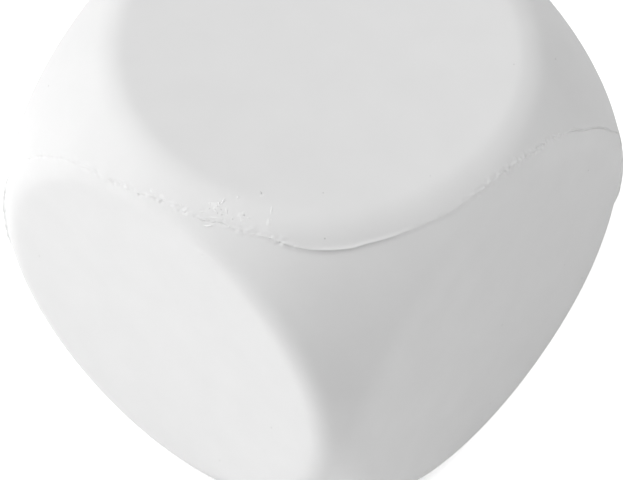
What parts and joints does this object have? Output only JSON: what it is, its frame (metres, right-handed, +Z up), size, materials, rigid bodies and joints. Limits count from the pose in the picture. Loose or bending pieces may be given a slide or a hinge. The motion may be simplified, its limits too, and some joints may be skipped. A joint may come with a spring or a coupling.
{
  "type": "giant yard die",
  "caption": "Blank white moulded foam yard die with ball-shaped edges, flat round faces and a wavy trimmed parting line, for throwing on a lawn.",
  "frame": {"origin": "middle of the bottom face, on the surface that the die rests on", "axes": "+Z up through the top face, +X out of the right-hand front face, -Y out of the left-hand front face"},
  "size_m": [0.09, 0.09, 0.09],
  "materials": {
    "skin": "matte",
    "foam": "matte",
    "trimmed_foam": "matte"
  },
  "bodies": {
    "root": {"foam_core": "foam", "upper_skin": "skin", "lower_skin": "skin", "parting_flash": "trimmed_foam", "vent_stubs": "trimmed_foam"}
  },
  "joints": []
}
